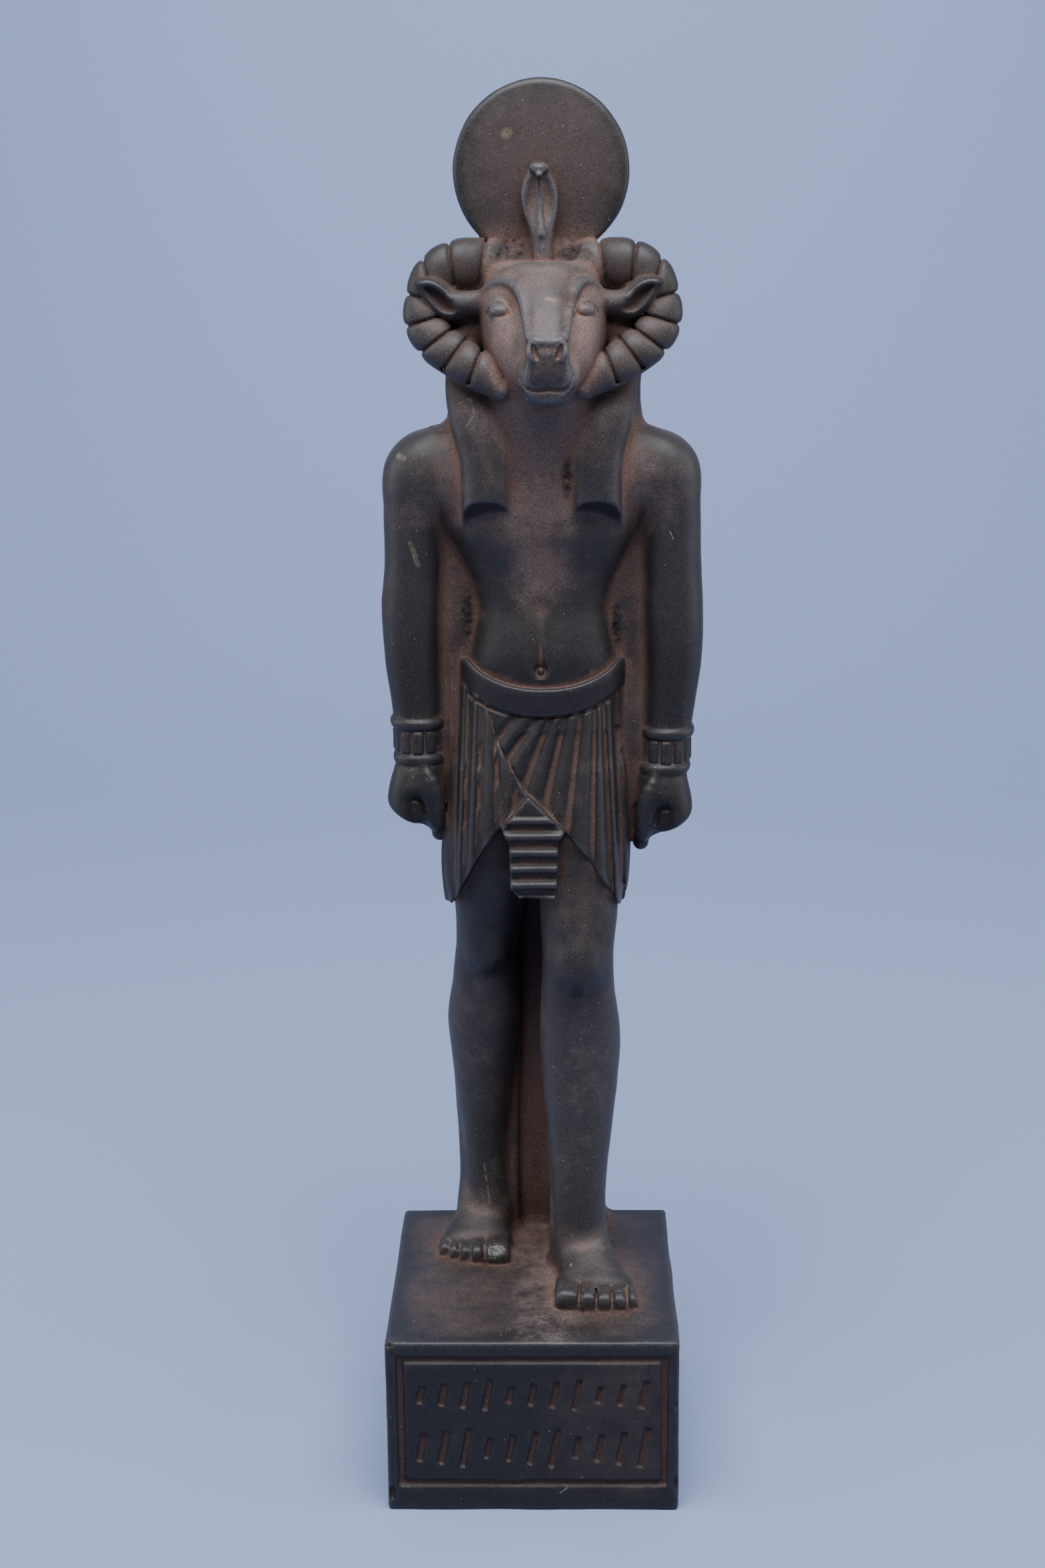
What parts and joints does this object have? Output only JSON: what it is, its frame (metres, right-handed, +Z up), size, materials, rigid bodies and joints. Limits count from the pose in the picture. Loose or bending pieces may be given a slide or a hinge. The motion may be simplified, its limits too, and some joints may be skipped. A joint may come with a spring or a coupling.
{
  "type": "khnum statue",
  "caption": "Cast stone statue of a striding ram-headed god in a pleated kilt, with curled horns, a cobra and a sun disc, on a block plinth.",
  "frame": {"origin": "on the ground at the centre of the plinth's depth, below the figure's middle line, which is the middle of its arm span", "axes": "+Z up along the statue's height, -Y the way the figure faces, +X to a viewer's right"},
  "size_m": [0.1041, 0.0998, 0.45],
  "materials": {
    "cast_stone": null
  },
  "bodies": {
    "root": {"khnum_statue": "cast_stone"}
  },
  "joints": []
}
